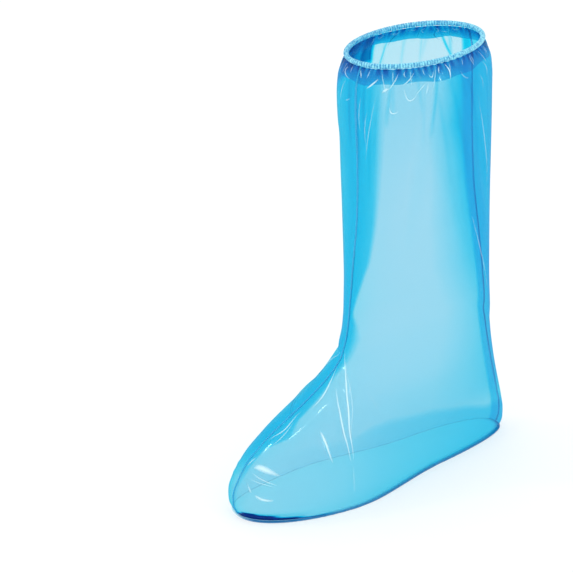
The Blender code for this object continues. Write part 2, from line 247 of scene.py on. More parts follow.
def sections():
    """Both tables in metres, from the sole up."""
    found = []
    for height, front, back, ball, heel, lean, ridge, tips, square in FOOT_ROWS:
        found.append(Section(
            height * INSTEP_HEIGHT,
            LEG_FRONT - front * (FOOT_LENGTH / 2 + LEG_FRONT),
            LEG_BACK + back * HEEL_SETBACK,
            tips * TOE_SHIFT + ridge * INSTEP_SHIFT,
            -tips * HEEL_SHIFT,
            ball * BALL_WIDTH / 2,
            heel * HEEL_WIDTH / 2,
            lean * BALL_LEAN,
            square, 0.0, 0.0,
        ))
    for height, front, back, width, ridge, turn, drawn in LEG_ROWS:
        half = (ANKLE_WIDTH + width * (LEG_WIDTH - ANKLE_WIDTH)) / 2
        found.append(Section(
            INSTEP_HEIGHT + height * (FILM_TOP - INSTEP_HEIGHT),
            LEG_FRONT - front * LEG_DEPTH,
            LEG_BACK + back * LEG_DEPTH,
            ridge * INSTEP_SHIFT, 0.0, half, half, 0.0, ROUND,
            turn * SEAM_TURN, drawn,
        ))
    return np.array(found)


SECTIONS = sections()
print(len(SECTIONS), "sections from the sole to the rim")

# %% The smooth film
WAIST_START = 0.3
WAIST_LENGTH = 0.4
LEAN_SCALE = 27 / 4
SMALL_ANGLE = 0.01
SMALL_RISE = 0.0008


def ease(share):
    """0 below 0, 1 above 1 and a smooth step between."""
    share = np.clip(share, 0, 1)
    return share * share * (3 - 2 * share)


def slopes():
    """Each column's slope at each row, level where the column has a high or a low."""
    steps = np.diff(SECTIONS, axis=0) / np.diff(SECTIONS[:, :1], axis=0)
    below, above = steps[:-1], steps[1:]
    product = below * above
    total = np.where(product > 0, below + above, 1.0)
    inner = np.where(product > 0, 2 * product / total, 0.0)
    return np.vstack([steps[:1], inner, steps[-1:]])


SLOPES = slopes()


def section_at(level):
    """The section at any heights, on smooth curves through the rows."""
    level = np.asarray(level, float)
    index = np.clip(np.searchsorted(SECTIONS[:, 0], level) - 1, 0, len(SECTIONS) - 2)
    low, high = SECTIONS[index], SECTIONS[index + 1]
    rise = high[..., :1] - low[..., :1]
    share = (level[..., None] - low[..., :1]) / rise
    value = low * (1 + 2 * share) * (1 - share) ** 2 + high * share ** 2 * (3 - 2 * share)
    value += SLOPES[index] * rise * share * (1 - share) ** 2
    value += SLOPES[index + 1] * rise * share ** 2 * (share - 1)
    return Section(*np.moveaxis(value, -1, 0))


def rim_point(angle):
    """The rim's centre line: an oval that rises towards the back."""
    along = -np.cos(angle) / 2
    across = MOUTH_WIDTH / 2 * np.sin(angle)
    return np.stack([across, MOUTH_CENTRE + MOUTH_DEPTH * along, RIM_HEIGHT + MOUTH_RISE * along], -1)


def smooth_point(angle, level):
    """Points of the film before its folds."""
    angle, level = np.broadcast_arrays(np.asarray(angle, float), np.asarray(level, float))
    row = section_at(level)
    turned = angle + row.turn
    share = (1 - np.cos(turned)) / 2
    fullness = (1 - np.abs(2 * share - 1) ** row.square) ** (1 / row.square)
    half = row.ball + (row.heel - row.ball) * ease((share - WAIST_START) / WAIST_LENGTH)
    middle = row.front_x * (1 - share) + row.back_x * share
    middle += row.lean * LEAN_SCALE * share * (1 - share) ** 2
    rim = rim_point(turned)
    raised = ease((level - INSTEP_HEIGHT) / (FILM_TOP - INSTEP_HEIGHT))
    x = middle + np.sign(np.sin(turned)) * half * fullness
    y = row.front + (row.back - row.front) * share
    x = x + row.drawn * (rim[..., 0] - x)
    y = y + row.drawn * (rim[..., 1] - y)
    return np.stack([x, y, level + raised * (rim[..., 2] - RIM_HEIGHT)], -1)


def unit(vectors):
    return vectors / np.linalg.norm(vectors, axis=-1, keepdims=True)


def directions(angle, level):
    """The way round and the way out of the smooth film, level where it meets the sole and the rim."""
    around = unit(smooth_point(angle + SMALL_ANGLE, level) - smooth_point(angle - SMALL_ANGLE, level))
    upward = smooth_point(angle, level + SMALL_RISE) - smooth_point(angle, level - SMALL_RISE)
    outward = unit(np.cross(around, upward))
    outward[..., 2] *= ease(np.minimum(level - FILM_BOTTOM, FILM_TOP - level) / UPRIGHT_EDGE)
    return around, unit(outward)


reach = smooth_point(np.linspace(-math.pi, math.pi, 181)[:, None], np.linspace(0.01, 0.4, 40)[None, :])
print("widest", np.round(1000 * (reach.max((0, 1)) - reach.min((0, 1))), 1), "mm")

# %% [markdown]
# Film that has been folded flat keeps its creases, and film that hangs empty makes new ones where it
# bends. A crease is a line that runs over the cover, so each one is a row of a table: three places
# it passes, how wide it is and how far it stands out. The distance of every point of the film to that
# line gives the height there. A sharp crease falls away at once on both sides, which is what catches
# the lamps as a thin white line. A soft one is a shallow swell.

# %% Creases
# A row has three places, a width and a depth. A place is degrees from the front seam, outer side
# positive, and a share of COVER_HEIGHT. Widths and depths are millimetres, and a depth below zero is
# pushed in.
SOFT_CREASES = [
    (64, 0.85, 80, 0.7, 122, 0.43, 10.0, -3.2),
    (92, 0.85, 108, 0.74, 126, 0.61, 8.0, -2.4),
    (-150, 0.84, -128, 0.64, -104, 0.45, 10.0, -2.8),
    (-40, 0.84, -58, 0.7, -84, 0.5, 11.0, -2.4),
    (10, 0.88, 13, 0.66, 4, 0.45, 13.0, 1.8),
    (24, 0.262, 48, 0.205, 63, 0.125, 6.0, -2.2),
    (-16, 0.3, -44, 0.225, -62, 0.15, 6.5, -2.0),
    (-48, 0.318, -20, 0.306, 4, 0.312, 5.0, -2.4),
    (150, 0.33, 176, 0.318, 204, 0.325, 8.0, -1.4),
    (38, 0.19, 50, 0.152, 58, 0.11, 6.0, 1.4),
    (5, 0.0105, 22, 0.011, 50, 0.009, 4.5, -3.4),
]
SHARP_CREASES = [
    # the outer side of the ankle, where two long creases meet low down
    (2, 0.326, 40, 0.239, 66, 0.114, 2.6, 1.2),
    (16, 0.266, 50, 0.199, 66, 0.112, 2.6, 1.1),
    (40, 0.186, 50, 0.154, 58, 0.112, 3.2, 1.3),
    # the same on the inner side
    (-2, 0.318, -36, 0.246, -62, 0.13, 2.6, 1.3),
    (-14, 0.276, -40, 0.216, -60, 0.14, 2.4, 1.1),
    # down the leg, where its film was folded flat
    (16, 0.9, 19, 0.68, 4, 0.44, 2.0, 0.7),
    (76, 0.855, 98, 0.63, 142, 0.41, 2.2, 0.9),
    (103, 0.85, 117, 0.73, 136, 0.61, 2.0, 0.8),
    (-22, 0.9, -24, 0.68, -8, 0.44, 2.0, 0.7),
    (-140, 0.855, -122, 0.64, -100, 0.42, 2.2, 0.8),
    # wrinkles that spread from the seam at the toe
    (2, 0.104, 14, 0.106, 27, 0.098, 1.8, 0.7),
    (2, 0.096, 15, 0.092, 30, 0.08, 1.6, 0.6),
    (3, 0.083, 12, 0.08, 24, 0.076, 1.6, 0.6),
    (3, 0.075, 8, 0.064, 13, 0.052, 1.6, 0.6),
    (-2, 0.104, -14, 0.11, -30, 0.104, 1.8, 0.7),
    (-2, 0.092, -12, 0.09, -24, 0.086, 1.6, 0.6),
    (18, 0.071, 24, 0.066, 31, 0.06, 2.2, 0.8),
]
CREASE_STEPS = 24
CREASE_REACH = 3        # past this many widths a crease is no longer felt
SOFT_POWER = 2
SHARP_POWER = 1.25
CREASE_SWELL = 0.7


def crease_line(crease):
    """The crease's line on the smooth film, through its three places."""
    share = np.linspace(0, 1, CREASE_STEPS + 1)
    weights = ((1 - share) * (1 - 2 * share), 4 * share * (1 - share), share * (2 * share - 1))
    angle = sum(weight * place for weight, place in zip(weights, crease[0:6:2]))
    height = sum(weight * place for weight, place in zip(weights, crease[1:6:2]))
    return smooth_point(np.radians(angle), height * COVER_HEIGHT)


def crease_height(points, crease, power):
    """How far one crease moves each point out, in metres."""
    line = crease_line(crease)
    width, depth = crease[6] / 1000, crease[7] / 1000
    shape = points.shape[:-1]
    points = points.reshape(-1, 3)
    raised = np.zeros(len(points))
    low = line.min(0) - CREASE_REACH * width
    high = line.max(0) + CREASE_REACH * width
    near = np.where(np.all((points > low) & (points < high), axis=1))[0]
    place = points[near]
    best = np.full(len(near), np.inf)
    share = np.zeros(len(near))
    for index in range(CREASE_STEPS):
        step = line[index + 1] - line[index]
        along = np.clip((place - line[index]) @ step / (step @ step), 0, 1)
        away = np.linalg.norm(line[index] + along[:, None] * step - place, axis=1)
        closer = away < best
        best[closer] = away[closer]
        share[closer] = (index + along[closer]) / CREASE_STEPS
    fade = np.exp(-((best / width) ** power)) * np.sin(math.pi * share) ** CREASE_SWELL
    raised[near] = depth * fade
    return raised.reshape(shape)


def creases(points):
    """How far all the creases move each point out."""
    rows = [(crease, SOFT_POWER) for crease in SOFT_CREASES]
    rows += [(crease, SHARP_POWER) for crease in SHARP_CREASES]
    return sum(crease_height(points, crease, power) for crease, power in rows)


print(len(SOFT_CREASES), "soft and", len(SHARP_CREASES), "sharp creases")

# %% [markdown]
# Below the elastic the film hangs in gathers. Each is a small ridge that starts at the elastic, runs
# down a few centimetres, often aslant, and fades. They repeat but no two are alike, so a loop draws
# each one's place, length and slant from a seeded generator, which gives the same gathers each time.

# %% Gathers
GATHERS = 64
GATHER_SEED = 7
random = np.random.default_rng(GATHER_SEED)
pitch = 2 * math.pi / GATHERS
gather_angle = (np.arange(GATHERS) + random.uniform(-0.3, 0.3, GATHERS)) * pitch
LENGTHS = (0.012, 0.016, 0.022, 0.030, 0.044)
gather_length = random.choice(LENGTHS, GATHERS, p=(0.3, 0.27, 0.2, 0.15, 0.08))
gather_height = random.uniform(0.0006, 0.0014, GATHERS)
gather_width = random.uniform(0.20, 0.34, GATHERS) * pitch
gather_slant = random.normal(0, 4.0, GATHERS)   # radians aside for each metre down
POCKET_DEPTH = 0.013          # how far down the gathered film lies in several layers, with painted shade in its pockets
POCKET_SHADE = 0.85                 # how deep the painted shade gets in the pockets
RIDGE_HEIGHT = 0.0009         # a gather this high has lost most of its pocket's painted shade on its ridge
RIDGE_UNSHADED = 0.75


def wrapped(angle):
    """The same angle between -180 and 180 degrees, in radians."""
    return (angle + math.pi) % (2 * math.pi) - math.pi


def gathers(angle, level):
    """How far the gathers move the film out, and how much layered film and painted shade each point gets
    in a pocket, 0 to 1.
    """
    depth = FILM_TOP - level
    raised = np.zeros(np.broadcast(angle, level).shape)
    for k in range(GATHERS):
        aside = wrapped(angle - gather_angle[k] - gather_slant[k] * depth)
        fade = ease(1 - depth / gather_length[k])
        ridge = gather_height[k] * np.exp(-((aside / gather_width[k]) ** 2)) * fade
        raised = np.maximum(raised, ridge)
    # painted shade in the pockets, taken off the gathers' ridges
    unshaded = RIDGE_UNSHADED * np.clip(raised / RIDGE_HEIGHT, 0, 1)
    return raised, ease(1 - depth / POCKET_DEPTH) * (1 - unshaded)


print(GATHERS, "gathers, the longest", round(1000 * gather_length.max()), "mm")

# %% [markdown]
# The leg's pale middle is one layer of film with one behind it. Beside the seams the colour is
# painted deeper as painted shade, with a clear edge on one side, and low on the heel there is
# painted shade too. All this is kept on the mesh as an attribute, which a material reads: 0 is a
# single layer, and the more layers or painted shade the higher, up to 1.

# %% Where the film is painted darker
# Angles are degrees from the front seam, outer side positive, and heights are shares of COVER_HEIGHT.
# The front zone of painted shade ends at an edge, sharp where the leg is narrow and soft where it is
# wide.
FRONT_HEIGHTS = (
    0.08, 0.165, 0.187, 0.212, 0.25, 0.28, 0.31, 0.35, 0.38, 0.405, 0.44, 0.54, 0.63, 0.75, 0.89,
)
FRONT_EDGE = (2, 7, 21, 12, 10, 6, 11, 14, 11, 5, 8, 17.5, 18.5, 20, 23)
FRONT_SOFTNESS = (4, 4, 5, 4, 5, 8, 14, 18, 12, 5, 5, 5, 6, 10, 16)
OUTER_HEIGHTS = (0.10, 0.18, 0.30, 0.42), (0.3, 0.85, 0.8, 1.0)
OUTER_START, OUTER_END = 4, 24          # between these the outer side's painted shade thins out
OUTER_THINNING = 0.024                  # for each degree
INNER_EDGE, INNER_SOFTNESS = -46, 40
# Above the foot the zones beside the seams fade in.
FOOT_SHARE, FOOT_FADE = 0.08, 0.10
# The back zone of painted shade starts at the long crease, and the shade before it deepens slowly towards
# it.
BACK_HEIGHTS = (0.05, 0.30, 0.41, 0.517, 0.627, 0.725, 0.85, 1.00)
BACK_CREASE = (165, 160, 142, 118, 100, 89, 79, 84)
BACK_SPREAD = (2.4, 2.4, 1.8, 1.6, 1.3, 1.0, 0.8, 0.8)
BEFORE_CREASE = (-30, -17, -8, 0, 3, 16, 20, 34)
BACK_SHADE = (0.0, 0.26, 0.52, 0.85, 1.0, 1.0, 0.80, 0.62)
BACK_FADE = (0.2, 0.5), (0.72, 1.0)
# The far panel has a narrow zone of its own beside the back seam.
FAR_BACK_EDGE, FAR_BACK_SOFTNESS = -168, 5
# Painted shade covers the heel up to a soft edge, more so towards the back.
HEEL_ANGLES = (16, 38, 55, 62, 69, 78, 103, 124, 139, 165, 180)
HEEL_HEIGHTS = (0.15, 0.175, 0.172, 0.172, 0.184, 0.186, 0.168, 0.138, 0.105, 0.085, 0.085)
HEEL_AMOUNTS = (0.05, 0.10, 0.14, 0.17, 0.23, 0.28, 0.37, 0.52, 0.60, 0.62, 0.62)
HEEL_SOFTNESS = 0.030
# Just under the elastic the inner side has painted shade, which ends at a clear edge.
TOP_ANGLES = (-99, -95, -89, -84, -76, -60, -40, 0)
TOP_AMOUNTS = (0.0, 1.70, 1.78, 1.64, 1.78, 1.6, 0.8, 0.8)
TOP_SHARE, TOP_FADE = 0.905, 0.025
# The plain leg is a little deeper high up, and so is the foot low down.
HIGH_AMOUNT, HIGH_SHARE, HIGH_FADE = 0.07, 0.62, 0.33
LOW_AMOUNT, LOW_SHARE, LOW_FADE = 0.05, 0.30, 0.10


def painted_shade_zones(angle, level):
    """How much darker each place is painted, mostly as painted shade."""
    degrees = np.degrees(wrapped(angle))
    height = level / COVER_HEIGHT
    above_foot = ease((height - FOOT_SHARE) / FOOT_FADE)

    def zone(angles, values):
        return np.interp(degrees, angles, values, left=0, right=0)

    # painted shade beside the front seam, on both sides
    edge = np.interp(height, FRONT_HEIGHTS, FRONT_EDGE)
    softness = np.interp(height, FRONT_HEIGHTS, FRONT_SOFTNESS)
    outer = ease((edge - degrees) / softness + 0.5) * np.interp(height, *OUTER_HEIGHTS)
    outer *= 1 - OUTER_THINNING * (np.clip(degrees, OUTER_START, OUTER_END) - OUTER_START)
    inner = ease((degrees - INNER_EDGE) / INNER_SOFTNESS) * above_foot
    top = np.interp(degrees, TOP_ANGLES, TOP_AMOUNTS, left=0)
    inner = np.maximum(inner, top * ease((height - TOP_SHARE) / TOP_FADE))
    front = np.where(degrees > 0, outer, inner)
    # painted shade towards the back seam
    past = degrees - np.interp(height, BACK_HEIGHTS, BACK_CREASE)
    past = np.where(past < 0, past / np.interp(height, BACK_HEIGHTS, BACK_SPREAD), past)
    back = np.interp(past, BEFORE_CREASE, BACK_SHADE) * above_foot
    back *= np.interp(height, *BACK_FADE)
    back = np.maximum(back, ease((FAR_BACK_EDGE - degrees) / FAR_BACK_SOFTNESS))
    # painted shade low on the heel
    low = zone(HEEL_ANGLES, HEEL_AMOUNTS)
    low *= ease((zone(HEEL_ANGLES, HEEL_HEIGHTS) - height) / HEEL_SOFTNESS + 0.5)
    plain = HIGH_AMOUNT * ease((height - HIGH_SHARE) / HIGH_FADE)
    plain += LOW_AMOUNT * ease((LOW_SHARE - height) / LOW_FADE)
    return np.maximum.reduce([front, back, low, plain])


# Single folds, written as the creases are, with how much each adds in place of a depth.
STREAKS = [
    # the two slanted folds and the pleats on the far wall, which show through the mouth
    (-150, 0.985, -156, 0.935, -166, 0.89, 1.3, 0.9),
    (-110, 0.985, -106, 0.927, -101, 0.88, 1.1, 0.6),
    (-96, 0.985, -96, 0.935, -96, 0.895, 1.5, 0.3),
    (-122, 0.985, -122, 0.931, -121, 0.88, 1.4, 0.2),
    (-136, 0.985, -136, 0.939, -135, 0.88, 1.4, 0.2),
    # pleats that run down from the elastic on the near side
    (62, 0.985, 68, 0.88, 79, 0.7, 2.4, 0.13),
    (55, 0.985, 55, 0.9, 53, 0.8, 1.8, 0.08),
    (24, 0.985, 19, 0.88, 16, 0.76, 2.4, 0.18),
    (9, 0.985, 8, 0.9, 9, 0.8, 2.0, 0.3),
    (-10, 0.985, -8, 0.9, -9, 0.8, 2.0, 0.25),
    (72, 0.985, 82, 0.87, 92, 0.72, 3.0, 0.15),
    (-40, 0.985, -46, 0.9, -50, 0.78, 2.2, 0.12),
    (-74, 0.985, -78, 0.9, -80, 0.8, 2.0, 0.08),
    (-1, 0.985, 1, 0.88, 2, 0.75, 1.6, 0.35),
    (15, 0.985, 13, 0.86, 12, 0.68, 2.2, 0.18),
    (88, 0.985, 99, 0.85, 112, 0.66, 2.2, 0.2),
    (112, 0.985, 118, 0.86, 124, 0.7, 2.6, 0.22),
    (33, 0.985, 29, 0.92, 27, 0.86, 2.0, 0.3),
]
STREAK_POWER = 2
PLEAT_LENGTH = 0.030            # how far down from the elastic a pleat runs, at the least
PLEAT_GROWTH = 1.0              # and how much further for each metre of its gather
PLEAT_SLANT = 0.4               # the share of its gather's slant that it keeps
PLEAT_BEND = 0.4                # its middle place, as a share of its length
PLEAT_WIDTH = 1.2               # millimetres
PLEAT_SPREAD = 700              # and how many more for each metre that its gather is high
PLEAT_AMOUNT = 8                # how deep its colour is for each metre of its gather


def pleats():
    """A faint fold below every third gather, which carries on its slant."""
    rows = []
    for k in range(0, GATHERS, 3):
        length = PLEAT_LENGTH + PLEAT_GROWTH * gather_length[k]
        places = []
        for share in (0, PLEAT_BEND, 1):
            turned = gather_angle[k] + PLEAT_SLANT * gather_slant[k] * length * share
            places += [math.degrees(turned), (FILM_TOP - length * share) / COVER_HEIGHT]
        width = PLEAT_WIDTH + PLEAT_SPREAD * gather_height[k]
        rows.append((*places, width, PLEAT_AMOUNT * gather_length[k]))
    return rows


def streaked(points):
    """How much the single folds deepen the colour at each point."""
    found = [crease_height(points, streak, STREAK_POWER) for streak in STREAKS + pleats()]
    return 1000 * np.maximum.reduce(found)


TUCK_SOFTNESS = 0.0010
TUCK_ANGLES = (0, 3, 8, 16, 30, 46, 62)     # degrees
TUCK_HEIGHTS = (3.4, 6.0, 7.6, 7.0, 5.2, 3.0, 0.8)  # millimetres


def painted_toe_hollow(angle, level):
    """Where the outer side's lower edge is rolled in at the toe: the hollow under it is painted shade."""
    degrees = np.degrees(wrapped(angle))
    height = np.interp(degrees, TUCK_ANGLES, TUCK_HEIGHTS, left=0, right=0) / 1000
    # painted shade in the hollow under the rolled-in edge
    return ease((height - level) / TUCK_SOFTNESS + 0.5) * (degrees > 0)


print(len(STREAKS), "single folds and", len(pleats()), "pleats")

# %% [markdown]
# Each panel is a thin closed wall: a grid of points on the film's outer face, the same grid a film's
# thickness further in, and strips that close the edges. A Solidify modifier would do the same, but
# with the grids at hand we can also write the film's attribute to both faces.

# %% Walls of film
FILM = 0.0004


def grid_normals(points):
    """The outward normals of a grid whose rows go round and columns go up."""
    around = np.gradient(points, axis=0)
    upward = np.gradient(points, axis=1)
    return unit(np.cross(around, upward))


def add_mesh(name, vertices, faces, smooth=True):
    mesh = bpy.data.meshes.new(name)
    mesh.from_pydata(vertices.tolist(), [], faces.tolist() if hasattr(faces, "tolist") else faces)
    mesh.update()
    if smooth:
        mesh.shade_smooth()
    made = bpy.data.objects.new(name, mesh)
    scene.collection.objects.link(made)
    return made


def add_attribute(mesh, name, values):
    """Keep a number, or a direction, for each point of a mesh."""
    kind, field = ("FLOAT_VECTOR", "vector") if np.ndim(values) > 1 else ("FLOAT", "value")
    kept = mesh.attributes.new(name, kind, "POINT")
    kept.data.foreach_set(field, np.ravel(values).astype(np.float32))


def strip(low, low_after, high_after, high):
    """Quads from four matching lists of corners."""
    return np.stack([low, low_after, high_after, high], -1).reshape(-1, 4)


def add_wall(name, outer, inner, attribute, closed=False):
    """A closed wall between two grids of points. A closed one runs right round the cover."""
    count, rings = outer.shape[:2]
    index = np.arange(count * rings).reshape(count, rings)
    if closed:
        index = np.vstack([index, index[:1]])
    shift = count * rings
    faces = [
        strip(index[:-1, :-1], index[1:, :-1], index[1:, 1:], index[:-1, 1:]),
        strip(index[1:, :-1], index[:-1, :-1], index[:-1, 1:], index[1:, 1:]) + shift,
    ]
    edges = [index[:, -1], index[::-1, 0]]
    if not closed:
        edges += [index[0], index[-1, ::-1]]
    for edge in edges:
        faces.append(strip(edge[:-1], edge[1:], edge[1:] + shift, edge[:-1] + shift))
    vertices = np.concatenate([outer.reshape(-1, 3), inner.reshape(-1, 3)])
    made = add_mesh(name, vertices, np.concatenate(faces))
    # the attribute carries the film's layers and its painted shade
    add_attribute(made.data, "doubling", np.tile(attribute.ravel(), 2))
    return made


FOLD_AND_SHADE_STOP = 0.5    # one extra fold, and the step for the painted shade zones
MANY_LAYERS_AND_SHADE = 0.8      # the many layers of a gather's pocket with its painted shade, where 1 is a painted hollow with no light behind it


def film_grid(angles, levels):
    """The film's outer face over a grid, and its layers and painted shade there."""
    angle, level = np.broadcast_arrays(angles[:, None], levels)
    place = smooth_point(angle, level)
    outward = directions(angle, level)[1]
    raised, pocket_shade = gathers(angle, level)
    points = place + outward * (raised + creases(place))[..., None]
    # painted shade zones and single folds, then the pockets and the toe hollow
    folds_and_shade = painted_shade_zones(angle, level) + streaked(place)
    layers_and_shade = np.maximum(FOLD_AND_SHADE_STOP * folds_and_shade, POCKET_SHADE * pocket_shade)
    return points, np.maximum(layers_and_shade, painted_toe_hollow(angle, level))


PANEL_COLUMNS = 256
BANDS = (FILM_BOTTOM, 0.36 * COVER_HEIGHT, 0.88 * COVER_HEIGHT, FILM_TOP)
BAND_ROWS = (98, 52, 34)    # close in the creased foot and top, wider apart down the plain leg


def film_levels():
    """The heights of the grid's rows."""
    bands = [np.linspace(*band) for band in zip(BANDS, BANDS[1:], BAND_ROWS)]
    return np.concatenate([bands[0], bands[1][1:], bands[2][1:]])


def add_panel(name, start):
    """One side of the cover, from seam to seam."""
    angles = np.linspace(start, start + math.pi, PANEL_COLUMNS + 1)
    levels = film_levels()
    outer, attribute = film_grid(angles, levels)
    around = directions(angles[[0, -1]][:, None], levels[None, :])[0]
    clear = SEAM_WIDTH / 2 + GAP / 2
    outer[0] += around[0] * clear
    outer[-1] -= around[1] * clear
    inner = outer - grid_normals(outer) * FILM
    inner[:, 0, 2] = outer[:, 0, 2]
    inner[:, -1, 2] = outer[:, -1, 2]
    return add_wall(name, outer, inner, attribute)


near_panel = add_panel("outer_film", 0.0)
far_panel = add_panel("inner_film", math.pi)
for panel in (near_panel, far_panel):
    print(panel.name, len(panel.data.polygons) * 2, "triangles")

# %% The hem
HEM_COLUMNS = 384
HEM_ROWS = 12
HEM_WAVE = 0.08     # how uneven its lower edge is, as a share of its height
HEM_DOUBLING = 0.26
HEM_EDGE, HEM_RISE = 0.25, 1.5      # how full that is at its lower edge, and how fast it fills
HEM_POCKET_SHADE = 0.58                  # how much painted shade its gathers' pockets add


def add_hem():
    """The turned-in second layer, which stands just inside the film."""
    angles = np.linspace(0, 2 * math.pi, HEM_COLUMNS, endpoint=False)
    depth = HEM_HEIGHT * (1 + HEM_WAVE * (np.sin(5 * angles + 1) + 0.7 * np.sin(12 * angles)))
    share = np.linspace(0, 1, HEM_ROWS)
    levels = FILM_TOP - depth[:, None] * (1 - share)
    face = film_grid(angles, levels)[0]
    normals = grid_normals(np.concatenate([face[-2:], face, face[:2]]))[2:-2]
    outer = face - normals * (FILM + GAP)
    inner = outer - normals * FILM
    pocket_shades = gathers(angles[:, None], levels)[1]
    # the hem's own extra layer, with painted shade in its gathers' pockets
    layers_and_shade = HEM_DOUBLING * ease(HEM_EDGE + HEM_RISE * share) + HEM_POCKET_SHADE * pocket_shades
    return add_wall("turned_in_hem", outer, inner, layers_and_shade, closed=True)


hem = add_hem()
print(hem.name, len(hem.data.polygons) * 2, "triangles")

# %% [markdown]
# Film. Low-density polyethylene, about 0.1 mm thick, blown as a tube and tinted blue. It is clear but
# a little milky, so a small share of its face is a plain glossy plastic and the rest lets light
# straight through, tinted. The tint deepens with the attribute of layers and painted shade, as it does
# where folds lie on each other and where shade is painted. A little tint is in the wall itself, as
# Volume Absorption: light that crosses the wall at a slant has further to go and comes out bluer, so
# the cover is deepest blue along its outline.

# %% Adding nodes and materials
NODE_STEP = 220     # how far apart the nodes stand in the editor
NODE_ROW = 8        # how many stand in one row


def add(tree, kind, inputs=(), stops=(), **settings):
    """Add a node. Its inputs go by name or by number, and each is a plain value, a node or socket to
    link, or a sum such as ("ADD", a, ("SINE", b)), which is made of Math nodes. The stops are a colour
    ramp's places and colours. The settings are the node's own."""
    node = tree.nodes.new(kind)
    row, column = divmod(len(tree.nodes), NODE_ROW)
    node.location = (column * NODE_STEP, -row * NODE_STEP)
    for name, value in settings.items():
        setattr(node, name, value)
    for key, value in inputs.items() if isinstance(inputs, dict) else enumerate(inputs):
        if isinstance(value, tuple) and isinstance(value[0], str):
            value = add(tree, "ShaderNodeMath", value[1:], operation=value[0])
        if isinstance(value, bpy.types.Node):
            value = value.outputs[0]
        if isinstance(value, bpy.types.NodeSocket):
            tree.links.new(value, node.inputs[key])
        else:
            node.inputs[key].default_value = value
    if stops:
        marks = node.color_ramp.elements
        for mark, (place, colour) in zip((marks[0], marks[1]), (stops[0], stops[-1])):
            mark.position = place
            mark.color = linear(colour)
        for place, colour in stops[1:-1]:
            marks.new(place).color = linear(colour)
    return node


def add_material(name):
    material = bpy.data.materials.new(name)
    material.use_nodes = True
    material.node_tree.nodes.clear()
    return material, material.node_tree


def finish(piece, material, slot, *nodes):
    """Give a finished piece its material and its body, and hide the CAD nodes that it stands for. Its
    slot is not used.
    """
    if material is not None:
        piece.data.materials.clear()
        piece.data.materials.append(material)
    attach(piece, "root")
    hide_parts(*nodes)


# %% Film material
RIPPLES = 60.0                      # noise cells in a metre: soft ripples about 16 mm across
RIPPLE_STRETCH = (1.0, 1.0, 0.35)   # drawn out up the leg, the way the film was blown
RIPPLE_DEPTH = 0.002
IN_THE_WALL = "00f8fc"              # what is left of white light after a long way inside the film


def film_material(name, milky, tints, bodies, density):
    """Clear tinted film. Its attribute of layers and painted shade runs through the tints, from single to
    many layers and painted hollows.
    """
    material, tree = add_material(name)
    layers_and_shade = add(tree, "ShaderNodeAttribute", attribute_name="doubling").outputs["Fac"]
    tint = add(tree, "ShaderNodeValToRGB", [layers_and_shade], list(zip((0, FOLD_AND_SHADE_STOP, MANY_LAYERS_AND_SHADE, 1), tints)))
    body = add(tree, "ShaderNodeValToRGB", [layers_and_shade], list(zip((0, 1), bodies)))
    clear = add(tree, "ShaderNodeBsdfTransparent", [tint])
    place = add(tree, "ShaderNodeTexCoord").outputs["Object"]
    drawn = add(tree, "ShaderNodeMapping", {"Vector": place, "Scale": RIPPLE_STRETCH})
    waves = add(tree, "ShaderNodeTexNoise", {"Vector": drawn, "Scale": RIPPLES, "Detail": 3.0})
    ripple = add(tree, "ShaderNodeBump", {"Height": waves, "Strength": 0.12, "Distance": RIPPLE_DEPTH})
    gloss = add(tree, "ShaderNodeBsdfPrincipled", {
        "Base Color": body, "Normal": ripple, "Roughness": 0.22, "IOR": 1.52,
        "Coat Weight": 1.0, "Coat Roughness": 0.06, "Coat IOR": 1.9,
    })
    mixed = add(tree, "ShaderNodeMixShader", [milky, clear, gloss])
    inside = add(tree, "ShaderNodeVolumeAbsorption", {"Color": linear(IN_THE_WALL), "Density": density})
    add(tree, "ShaderNodeOutputMaterial", {"Surface": mixed, "Volume": inside})
    return material


# From one layer, through one fold and many layers, to a hollow with no light behind it, which is painted
# shade.
FILM_TINTS = ("fff8fb", "40e9f9", "08cdec", "0a66b6")
HEM_TINTS = ("98eefa", "34d6f0", "08c4e8", "0a66b6")
FILM_BODIES = ("78cff4", "1c86c8")
FILM_DENSITY = 980.0
blue_film = film_material("blue_polyethylene_film", 0.09, FILM_TINTS, FILM_BODIES, FILM_DENSITY)
hem_film = film_material("hem_of_doubled_film", 0.10, HEM_TINTS, FILM_BODIES, FILM_DENSITY)
finish(near_panel, blue_film, "blue_film", "film_panel_left")
finish(far_panel, blue_film, "blue_film", "film_panel_right")
finish(hem, hem_film, "hem_film", "hem_facing")
print("dressed", near_panel.name, far_panel.name, hem.name)

# %% [markdown]
# The sole is one flat piece of the same film, thicker than the sides. Where it is sealed to them its
# edge is pressed thin and stands out round the foot as a narrow lip, crimped by the hot bar. It is a
# flat shape with one profile all the way round, so its points come from the outline moved in and out.

# %% The sole
SOLE_COLUMNS = 512
CRIMP_PITCH = 0.0022
CRIMP_DEPTH = 0.00012
# How far out of the film's foot each ring of the sole lies, and how high, in millimetres.
SOLE_PROFILE = (
    (-4.5, 0.0), (1.7, 0.0), (2.0, 0.3), (2.0, 0.9), (1.7, 1.2), (0.4, 1.2), (-4.4, 1.2), (-4.6, 1.6),
)
LIP_START = 1.0     # rings further out than this many millimetres are crimped
SHADE_TURN = 0.1    # radians: the lip's painted shade is darkest on the outer side, a little past its middle
